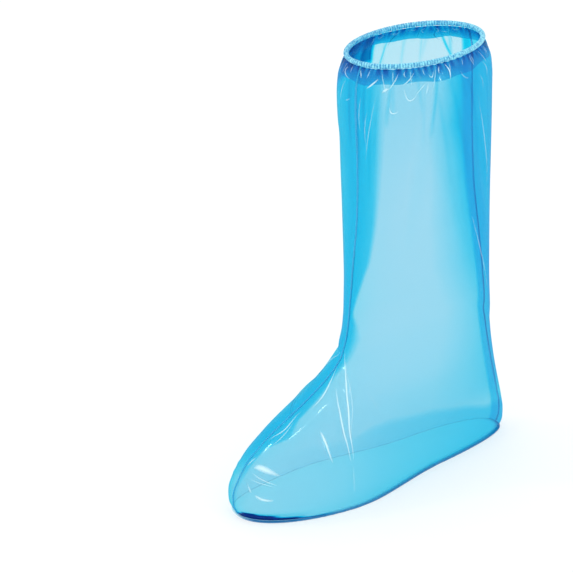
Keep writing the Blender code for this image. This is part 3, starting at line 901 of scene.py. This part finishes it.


def add_sole():
    """The sole, closed over the middle by a fan at its top and at its foot."""
    angles = np.linspace(0, 2 * math.pi, SOLE_COLUMNS, endpoint=False)
    outline = smooth_point(angles, FILM_BOTTOM)
    around = directions(angles, FILM_BOTTOM)[0]
    outward = unit(np.stack([around[:, 1], -around[:, 0], 0 * angles], -1))
    length = np.cumsum(np.linalg.norm(np.roll(outline, -1, 0) - outline, axis=1))
    crimp = CRIMP_DEPTH * np.sin(2 * math.pi * length / CRIMP_PITCH)
    rings = []
    for out, height in SOLE_PROFILE:
        ring = outline + outward * (out / 1000)
        ring[:, 2] = height / 1000
        if out > LIP_START:
            ring += outward * crimp[:, None]
        rings.append(ring)
    x, y = outline.mean(0)[:2]
    vertices = np.concatenate(rings + [[(x, y, 0), (x, y, SOLE_THICKNESS)]])
    here = np.arange(SOLE_COLUMNS)
    after = np.roll(here, -1)
    faces = []
    for ring in range(len(SOLE_PROFILE) - 1):
        low, high = ring * SOLE_COLUMNS, (ring + 1) * SOLE_COLUMNS
        faces += strip(here + low, after + low, after + high, here + high).tolist()
    base, bed = len(vertices) - 2, len(vertices) - 1
    for index in range(SOLE_COLUMNS):
        faces.append((after[index], here[index], base))
        faces.append((here[index] + high, after[index] + high, bed))
    pressed = [0.0 if out < 0 else 1.0 for out, height in SOLE_PROFILE]
    # painted shade: the lip is darker on the outer side and plain on the inner side
    lip_shade = ease(0.5 + 2 * np.sin(angles - SHADE_TURN))
    layers_and_shade = np.append(np.outer(pressed, lip_shade), [0.0, 0.0])
    made = add_mesh("film_sole", vertices, faces, smooth=False)
    add_attribute(made.data, "doubling", layers_and_shade)
    return made


SOLE_TINTS = ("f0fbff", "70d4f0", "2c9cdc", "0478b8")
SOLE_BODIES = ("f6fdff", "0480b4")
SOLE_DENSITY = 60.0
sole = add_sole()
sole_film = film_material("thick_sole_film", 0.68, SOLE_TINTS, SOLE_BODIES, SOLE_DENSITY)
finish(sole, sole_film, "sole_film", "sole")
print(sole.name, len(sole.data.polygons), "faces")

# %% [markdown]
# The elastic is a round cord inside a tube of film that is far too long for it, so the film puckers
# all the way round. A rule makes this shape, so Geometry Nodes build it: a circle is bent into the
# mouth's oval, a round profile runs along it, and a wave along the way draws the puckers. Sculpting
# them by hand would take longer and could not be changed afterwards.

# %% Helpers for node trees


def new_tree(name, inputs):
    """A node tree for a modifier: its geometry goes in and out, and its other inputs have names."""
    tree = bpy.data.node_groups.new(name, "GeometryNodeTree")
    tree.is_modifier = True
    for way in ("INPUT", "OUTPUT"):
        tree.interface.new_socket(name="Geometry", in_out=way, socket_type="NodeSocketGeometry")
    for kind, labels in inputs.items():
        for label in labels:
            tree.interface.new_socket(name=label, in_out="INPUT", socket_type="NodeSocket" + kind)
    return tree, add(tree, "NodeGroupInput").outputs


def moved_out(tree, geometry, lift):
    """Move each point of a surface along its normal."""
    normal = add(tree, "GeometryNodeInputNormal")
    offset = add(tree, "ShaderNodeVectorMath", {"Vector": normal, "Scale": lift}, operation="SCALE")
    return add(tree, "GeometryNodeSetPosition", {"Geometry": geometry, "Offset": offset})


def close_tree(tree, given, geometry):
    """End a tree with real geometry in the given material."""
    real = add(tree, "GeometryNodeRealizeInstances", [geometry])
    dressed = add(tree, "GeometryNodeSetMaterial", {"Geometry": real, "Material": given["Material"]})
    add(tree, "NodeGroupOutput", [dressed])


def grown(name, tree, values, start=None):
    """The plain mesh that a node tree makes from these named values."""
    mesh = start or bpy.data.meshes.new(name)
    piece = bpy.data.objects.new(name, mesh)
    scene.collection.objects.link(piece)
    modifier = piece.modifiers.new(name, "NODES")
    modifier.node_group = tree
    for socket in tree.interface.items_tree:
        if socket.in_out == "INPUT" and socket.name in values:
            modifier[socket.identifier] = values[socket.name]
    bpy.context.view_layer.update()
    ready = piece.evaluated_get(bpy.context.evaluated_depsgraph_get())
    made = bpy.data.meshes.new_from_object(ready)
    piece.modifiers.clear()
    piece.data = made
    made.shade_smooth()
    return piece


# %% The elastic rim's node tree
PUCKERS = 150
PUCKER_POINTS = 6
PUCKER_DEPTH = 0.00045
PUCKER_NOISE = 260.0    # noise cells in a metre: the puckers differ every 4 mm or so
RIM_SIDES = 14


def rim_tree():
    """Puckered film over a cord that follows the mouth's oval."""
    tree, given = new_tree("puckered_elastic", {
        "Float": (
            "Mouth Width", "Mouth Depth", "Centre", "Height", "Rise", "Thickness", "Pucker Depth",
            "Unevenness", "Seed",
        ),
        "Int": ("Puckers",),
        "Material": ("Material",),
    })
    circle = add(tree, "GeometryNodeCurvePrimitiveCircle",
                 {"Resolution": ("MULTIPLY", given["Puckers"], PUCKER_POINTS)})
    share = add(tree, "GeometryNodeSplineParameter").outputs["Factor"]
    angle = add(tree, "ShaderNodeMath", [share, 2 * math.pi], operation="MULTIPLY")
    back = add(tree, "ShaderNodeMath", [("COSINE", angle), -0.5], operation="MULTIPLY")
    place = add(tree, "ShaderNodeCombineXYZ", [
        ("MULTIPLY", ("SINE", angle), ("DIVIDE", given["Mouth Width"], 2)),
        ("MULTIPLY_ADD", back, given["Mouth Depth"], given["Centre"]),
        ("MULTIPLY_ADD", back, given["Rise"], given["Height"]),
    ])
    oval = add(tree, "GeometryNodeSetPosition", {"Geometry": circle, "Position": place})
    marked = add(tree, "GeometryNodeStoreNamedAttribute",
                 {"Geometry": oval, "Name": "around", "Value": angle})
    profile = add(tree, "GeometryNodeCurvePrimitiveCircle",
                  {"Resolution": RIM_SIDES, "Radius": ("DIVIDE", given["Thickness"], 2)})
    tube = add(tree, "GeometryNodeCurveToMesh", {"Curve": marked, "Profile Curve": profile})
    turn = add(tree, "GeometryNodeInputNamedAttribute", ["around"])
    where = add(tree, "GeometryNodeInputPosition")
    noise = add(tree, "ShaderNodeTexNoise", {
        "Vector": where, "W": given["Seed"], "Scale": PUCKER_NOISE, "Detail": 1.0,
    }, noise_dimensions="4D")
    jitter = ("MULTIPLY", noise, given["Unevenness"])
    phase = ("MULTIPLY_ADD", turn, ("DIVIDE", given["Puckers"], 2), jitter)
    nip = ("SUBTRACT", ("ABSOLUTE", ("SINE", phase)), 1.0)
    close_tree(tree, given, moved_out(tree, tube, ("MULTIPLY", nip, given["Pucker Depth"])))
    return tree


puckered = rim_tree()
print(puckered.name, "has", len(puckered.nodes), "nodes")

# %% [markdown]
# The film on the elastic is crushed into many layers, so it is nearly opaque. It is painted pale and cyan
# where it bulges and darker in the nips, as painted shade. Ambient Occlusion could find the nips, but it
# slows the render, so the painted shade follows the same wave that shapes them, mixed with a fine noise
# for the small wrinkles.

# %% The elastic rim
NIP_SHADE_SHARE = 0.20
FLECK_SHARE = 0.80
FLECKS = 420.0      # noise cells in a metre: flecks about 2 mm across


def elastic_material():
    """Crushed film over elastic: pale, slightly glossy and nearly opaque, with painted shade in its nips.
    """
    material, tree = add_material("crushed_film_on_elastic")
    around = add(tree, "ShaderNodeAttribute", attribute_name="around").outputs["Fac"]
    # painted shade: darker in the nips, paler on the bulges
    painted_bulge_light = ("ABSOLUTE", ("SINE", ("MULTIPLY", around, PUCKERS / 2)))
    place = add(tree, "ShaderNodeTexCoord").outputs["Object"]
    flecks = add(tree, "ShaderNodeTexNoise", {"Vector": place, "Scale": FLECKS, "Detail": 3.0})
    mixed = ("MULTIPLY_ADD", flecks, FLECK_SHARE, ("MULTIPLY", painted_bulge_light, NIP_SHADE_SHARE))
    shade = add(tree, "ShaderNodeValToRGB", [mixed], [(0.38, "128ac6"), (0.66, "92e8f8")])
    shell = add(tree, "ShaderNodeBsdfPrincipled", {"Base Color": shade, "Roughness": 0.35, "IOR": 1.5})
    add(tree, "ShaderNodeOutputMaterial", [shell])
    return material


rim = grown("puckered_rim", puckered, {
    "Mouth Width": MOUTH_WIDTH, "Mouth Depth": MOUTH_DEPTH, "Centre": MOUTH_CENTRE,
    "Height": RIM_HEIGHT, "Rise": MOUTH_RISE, "Thickness": ELASTIC_THICKNESS,
    "Puckers": PUCKERS, "Pucker Depth": PUCKER_DEPTH, "Unevenness": 5.0, "Seed": 3.0,
    "Material": elastic_material(),
})
finish(rim, None, "elastic_edge", "elastic_rim")
print(rim.name, len(rim.data.polygons) * 2, "triangles", rim.data.materials[:])

# %% [markdown]
# A seam is two edges of film laid together and pressed by a hot bar. It leaves a thin flange that
# stands out from the cover, with fine crimps across it. A flange follows a path, so Geometry Nodes
# sweep a flat profile up a line of points on the film. The line carries its own outward direction,
# so that the flange stands out squarely all the way from the toe to the mouth.

# %% Seams
SEAM_POINTS = 420
SEAM_STEP = 0.004           # radians to each side, where the film's slope is felt
SEAM_CRIMP = 0.0018
SEAM_CRIMP_DEPTH = 0.00012
FLANGE_EDGE = 0.00035       # the round of the flange's corners


def aimed_lines(tree, given):
    """The given lines of points as curves whose normals are the outward directions they carry."""
    lines = add(tree, "GeometryNodeMeshToCurve", [given["Geometry"]])
    outward = add(tree, "GeometryNodeInputNamedAttribute", ["outward"], data_type="FLOAT_VECTOR")
    return add(tree, "GeometryNodeSetCurveNormal", {"Curve": lines, "Normal": outward}, mode="FREE")


def crimp_wave(length, pitch):
    """A wave, from -1 to 1, along a length."""
    return "SINE", ("MULTIPLY", ("DIVIDE", length, pitch), 2 * math.pi)


def seam_tree():
    """A thin crimped flange along a line of points."""
    tree, given = new_tree("sealed_flange", {
        "Float": ("Width", "Depth", "Offset", "Crimp", "Crimp Depth"), "Material": ("Material",),
    })
    along = add(tree, "GeometryNodeSplineParameter").outputs["Length"]
    marked = add(tree, "GeometryNodeStoreNamedAttribute",
                 {"Geometry": aimed_lines(tree, given), "Name": "along", "Value": along})
    flat = add(tree, "GeometryNodeCurvePrimitiveQuadrilateral",
               {"Width": given["Depth"], "Height": given["Width"]})
    rounded = add(tree, "GeometryNodeFilletCurve",
                  {"Curve": flat, "Count": 2, "Radius": FLANGE_EDGE}, mode="POLY")
    shift = add(tree, "ShaderNodeCombineXYZ", [given["Offset"]])
    profile = add(tree, "GeometryNodeTransform", {"Geometry": rounded, "Translation": shift})
    flange = add(tree, "GeometryNodeCurveToMesh",
                 {"Curve": marked, "Profile Curve": profile, "Fill Caps": True})
    length = add(tree, "GeometryNodeInputNamedAttribute", ["along"])
    lift = ("MULTIPLY", crimp_wave(length, given["Crimp"]), given["Crimp Depth"])
    close_tree(tree, given, moved_out(tree, flange, lift))
    return tree


def seam_line(name, angle):
    """The seam's line up the film, with the way out at each point."""
    levels = np.linspace(FILM_BOTTOM, FILM_TOP, SEAM_POINTS)
    beside = np.array([angle - SEAM_STEP, angle, angle + SEAM_STEP])
    line = film_grid(beside, levels)[0][1]
    mesh = bpy.data.meshes.new(name)
    mesh.from_pydata(line.tolist(), [(k, k + 1) for k in range(SEAM_POINTS - 1)], [])
    add_attribute(mesh, "outward", directions(np.array([angle]), levels)[1])
    return mesh


def seam_material():
    """Two films melted into one: smoother and deeper blue than either, with paler crimps."""
    material, tree = add_material("heat_sealed_film")
    along = add(tree, "ShaderNodeAttribute", attribute_name="along").outputs["Fac"]
    share = ("MULTIPLY_ADD", crimp_wave(along, SEAM_CRIMP), 0.5, 0.5)
    shade = add(tree, "ShaderNodeValToRGB", [share], [(0, "20a4dc"), (1, "54c8f0")])
    shell = add(tree, "ShaderNodeBsdfPrincipled", {
        "Base Color": shade, "Roughness": 0.35, "IOR": 1.52, "Specular IOR Level": 0.15, "Alpha": 0.72,
    })
    add(tree, "ShaderNodeOutputMaterial", [shell])
    return material


flange_tree = seam_tree()
sealed = seam_material()
for name, angle, node in (("front_flange", 0.0, "front_seam"), ("back_flange", math.pi, "back_seam")):
    seam = grown(name, flange_tree, {
        "Width": SEAM_WIDTH, "Depth": SEAM_FLANGE + FILM, "Offset": (SEAM_FLANGE - FILM) / 2,
        "Crimp": SEAM_CRIMP, "Crimp Depth": SEAM_CRIMP_DEPTH, "Material": sealed,
    }, seam_line(name, angle))
    finish(seam, None, "sealed_seam", node)
    places = np.array([v.co for v in seam.data.vertices])
    print(name, "from", np.round(places.min(0), 4), "to", np.round(places.max(0), 4))

# %% [markdown]
# The sharpest creases show as thin white lines: two long ones down the ankle, short ones on the toe,
# and little curls under the elastic. They are painted highlights, finer than the film's own mesh can
# carry, so each is a narrow white ribbon that lies on the film. Geometry Nodes sweep the ribbon along
# its line and narrow it to nothing at both ends.

# %% Painted crease highlights
# A row has a width in millimetres, a strength, and then its places, each as a crease's are.
CREASE_HIGHLIGHTS = [
    # down the outer side of the ankle, where two meet, and the glint between them and the toe
    (2.4, 1.0, 2, 0.325, 19.3, 0.281, 40.2, 0.239, 58.7, 0.179, 66, 0.116),
    (1.3, 0.45, 9.4, 0.308, 23.1, 0.278, 40.0, 0.247, 55.3, 0.198, 65.4, 0.136),
    (2.2, 0.9, 16, 0.267, 33.3, 0.239, 50.1, 0.199, 60.9, 0.156, 65.5, 0.116),
    (4.6, 1.0, 37.5, 0.196, 47.6, 0.17, 57, 0.126),
    (1.6, 0.3, 66.1, 0.118, 67.2, 0.075, 67.9, 0.04),
    (1.4, 0.22, 46, 0.258, 58, 0.236, 70, 0.2),
    # along the seam over the instep
    (2.0, 0.85, 0.5, 0.294, 6.5, 0.272, 10.9, 0.258, 13.4, 0.244, 12.5, 0.23),
    (1.8, 0.7, 6.1, 0.224, 6.9, 0.209, 8.3, 0.196, 5.8, 0.186, 3.4, 0.173),
    (1.5, 0.5, 9.4, 0.209, 12.6, 0.187, 9.8, 0.17),
    (1.6, 0.7, 1.5, 0.128, 3.0, 0.138, 4.8, 0.148),
    # the toe
    (8.5, 0.9, 9, 0.129, 17, 0.131, 31, 0.117),
    (1.6, 0.6, 8, 0.121, 21, 0.107, 32, 0.094),
    (1.4, 0.5, 8, 0.107, 21, 0.099, 30, 0.091),
    (1.8, 0.7, 9, 0.095, 12.5, 0.083, 15.5, 0.073),
    (4.2, 0.9, 17.5, 0.072, 24, 0.0625, 31, 0.0595),
    # down the back of the leg
    (1.8, 0.45, 101, 0.9, 114.8, 0.758, 128, 0.62),
    (1.8, 0.35, 98, 0.63, 117.8, 0.523, 144, 0.39),
    (1.3, 0.35, 19.5, 0.94, 12.5, 0.85, 8.8, 0.785),
    # under the elastic
    (1.6, 0.9, 29.5, 0.911, 31.7, 0.897, 36.5, 0.902),
    (1.6, 0.8, -16.7, 0.982, -20.2, 0.968, -9, 0.959),
    (2.2, 0.9, 20.5, 0.97, 15.3, 0.958, 10.5, 0.948),
    (1.7, 0.7, 36.5, 0.98, 33.4, 0.964, 28.5, 0.946),
    (3.4, 0.8, 24.0, 0.942, 26.6, 0.948, 29.5, 0.951),
    (1.7, 0.7, 49.1, 0.98, 43.9, 0.964, 39.6, 0.958),
    (1.5, 0.8, 40.5, 0.953, 44.0, 0.924, 50.5, 0.937),
    (1.4, 0.5, 48.5, 0.933, 53.0, 0.946, 57.5, 0.958),
    (1.7, 0.6, 58.8, 0.957, 57.8, 0.944, 56.2, 0.932),
    (2.0, 0.95, 74.4, 0.986, 76.8, 0.97, 75.8, 0.953),
    (1.6, 0.8, 69.8, 0.983, 68.6, 0.977, 68.3, 0.97),
    (1.5, 0.7, 59.6, 0.975, 61.8, 0.966, 64.3, 0.978),
    (1.5, 0.5, 101.1, 0.987, 99.9, 0.975, 101.4, 0.962),
    (1.3, 0.4, 86.0, 0.965, 88.4, 0.95, 93.2, 0.944),
    (1.5, 0.5, 112, 0.962, 116, 0.944, 115, 0.924),
    (1.7, 0.45, 135, 0.958, 131, 0.94, 134, 0.918),
    (1.4, 0.35, 104, 0.94, 108, 0.922, 107, 0.9),
    (1.6, 0.45, 141, 0.93, 137, 0.912, 140, 0.89),
    (1.4, 0.3, 6, 0.93, 3.5, 0.89, 4.5, 0.85),
    (1.6, 0.45, -14, 0.955, -20, 0.93, -22, 0.9),
    (1.4, 0.3, 12, 0.9, 9, 0.86, 10, 0.81),
    (1.6, 0.35, -12.8, 0.911, -10.0, 0.914, -7.2, 0.918),
    (1.4, 0.6, 126.4, 0.983, 126.8, 0.974, 125.3, 0.964),
    (1.5, 0.6, 0.1, 0.981, 2.8, 0.974, 3.7, 0.967),
    (1.4, 0.6, 42.3, 0.983, 41.1, 0.977, 42.7, 0.971),
    # the side that faces away
    (2.4, 0.9, -4, 0.316, -36, 0.246, -62, 0.132),
    (2.0, 0.8, -16, 0.272, -42, 0.212, -61, 0.138),
    (1.6, 0.8, -34, 0.91, -38, 0.897, -41, 0.904),
    (1.8, 0.8, -70, 0.982, -66, 0.966, -72, 0.95),
    (1.8, 0.8, -118, 0.98, -112, 0.962, -110, 0.944),
    (1.6, 0.7, -150, 0.978, -146, 0.962, -151, 0.948),
]
# the same on the inner face, which shows through the mouth
INSIDE_HIGHLIGHTS = [
    (2.4, 0.55, -172, 0.984, -167, 0.98, -163, 0.983),
    (1.8, 0.5, -160, 0.978, -156, 0.972, -151, 0.976),
    (1.6, 0.5, -148, 0.984, -150, 0.976, -147, 0.97),
    (3.4, 0.22, -131, 0.985, -128, 0.979, -124, 0.983),
    (3.8, 0.25, -118, 0.984, -114, 0.978, -109, 0.982),
    (3.4, 0.2, -104, 0.985, -100, 0.978, -97, 0.982),
    (1.2, 0.4, -92, 0.984, -94, 0.975, -91, 0.966),
    (1.4, 0.4, -140, 0.986, -136, 0.978, -138, 0.968),
]
WHITE_STEPS = 28
RIBBON_POINTS = 7       # across each ribbon
RIBBON_LIFT = 0.00012
INSIDE_LIFT = -(2 * FILM + GAP + RIBBON_LIFT)
RIDGE_TOP = 0.0015
RIDGE_WIDTH = 1.2
RIDGE_STRENGTH = 0.5
TAPER_POWER = 0.6
NARROWEST = 0.05        # a ribbon's ends are this share of its width
MIDDLE_POWER = 1.6      # the higher, the narrower the white along its middle


def ridge_glints():
    """Short glints on every other gather, along its own ridge."""
    rows = []
    for k in range(0, GATHERS, 2):
        places = []
        for share in (0, 0.25, 0.5):
            depth = RIDGE_TOP + share * gather_length[k]
            angle = gather_angle[k] + gather_slant[k] * depth
            places += [math.degrees(angle), (FILM_TOP - depth) / COVER_HEIGHT]
        rows.append((RIDGE_WIDTH, RIDGE_STRENGTH, *places))
    return rows


def white_lines():
    """The ribbons' lines on the film, with the way out, the half width and the strength at each point."""
    points, edges = [], []
    found = {"outward": [], "half_width": [], "strength": []}
    share = np.linspace(0, 1, WHITE_STEPS)
    taper = np.sin(math.pi * share) ** TAPER_POWER
    outside = CREASE_HIGHLIGHTS + ridge_glints()
    for index, (width, strength, *places) in enumerate(outside + INSIDE_HIGHLIGHTS):
        knots = np.linspace(0, 1, len(places) // 2)
        fitted = [np.polyfit(knots, places[row::2], len(knots) - 1) for row in (0, 1)]
        angle = np.radians(np.polyval(fitted[0], share))
        level = np.polyval(fitted[1], share) * COVER_HEIGHT
        place = smooth_point(angle, level)
        out = directions(angle, level)[1]
        lift = RIBBON_LIFT if index < len(outside) else INSIDE_LIFT
        height = gathers(angle, level)[0] + creases(place) + lift
        first = len(points)
        points += (place + out * height[:, None]).tolist()
        edges += [(first + k, first + k + 1) for k in range(WHITE_STEPS - 1)]
        found["outward"] += out.tolist()
        found["half_width"] += (width / 2000 * np.maximum(taper, NARROWEST)).tolist()
        found["strength"] += (strength * taper).tolist()
    mesh = bpy.data.meshes.new("crease_glints")
    mesh.from_pydata(points, edges, [])
    for label, values in found.items():
        add_attribute(mesh, label, np.array(values))
    return mesh


def ribbon_tree():
    """A flat ribbon along each line, as wide as the line says, with its own across coordinate."""
    tree, given = new_tree("crease_ribbons", {"Float": ("Width Scale",), "Material": ("Material",)})
    half = add(tree, "GeometryNodeInputNamedAttribute", ["half_width"])
    scale = ("MULTIPLY", half, given["Width Scale"])
    flat = add(tree, "GeometryNodeCurvePrimitiveLine", {"Start": (0, -1, 0), "End": (0, 1, 0)})
    fine = add(tree, "GeometryNodeResampleCurve", {"Curve": flat, "Count": RIBBON_POINTS})
    where = add(tree, "GeometryNodeInputPosition")
    across = add(tree, "ShaderNodeSeparateXYZ", [where]).outputs["Y"]
    profile = add(tree, "GeometryNodeStoreNamedAttribute",
                  {"Geometry": fine, "Name": "across", "Value": across})
    ribbons = add(tree, "GeometryNodeCurveToMesh",
                  {"Curve": aimed_lines(tree, given), "Profile Curve": profile, "Scale": scale})
    close_tree(tree, given, ribbons)
    return tree


def glint_material():
    """A painted highlight along a crease: clear at the ribbon's edges and white along its middle."""
    material, tree = add_material("painted_crease_highlight")
    across = add(tree, "ShaderNodeAttribute", attribute_name="across").outputs["Fac"]
    strength = add(tree, "ShaderNodeAttribute", attribute_name="strength").outputs["Fac"]
    # painted highlight: white along the middle of each ribbon
    middle = ("SUBTRACT", 1.0, ("MULTIPLY", across, across))
    cover = ("MULTIPLY", ("POWER", middle, MIDDLE_POWER), strength)
    clear = add(tree, "ShaderNodeBsdfTransparent")
    white = add(tree, "ShaderNodeBsdfPrincipled", {
        "Base Color": linear("d4f6ff"), "Roughness": 0.3, "IOR": 1.52,
        "Coat Weight": 1.0, "Coat Roughness": 0.1,
    })
    mixed = add(tree, "ShaderNodeMixShader", [cover, clear, white])
    add(tree, "ShaderNodeOutputMaterial", [mixed])
    return material


glint_values = {"Width Scale": 1.0, "Material": glint_material()}
glints = grown("crease_glints", ribbon_tree(), glint_values, white_lines())
finish(glints, None, "blue_film", "film_panel_left", "film_panel_right")
print(glints.name, len(glints.data.polygons) * 2, "triangles for", len(CREASE_HIGHLIGHTS), "creases")
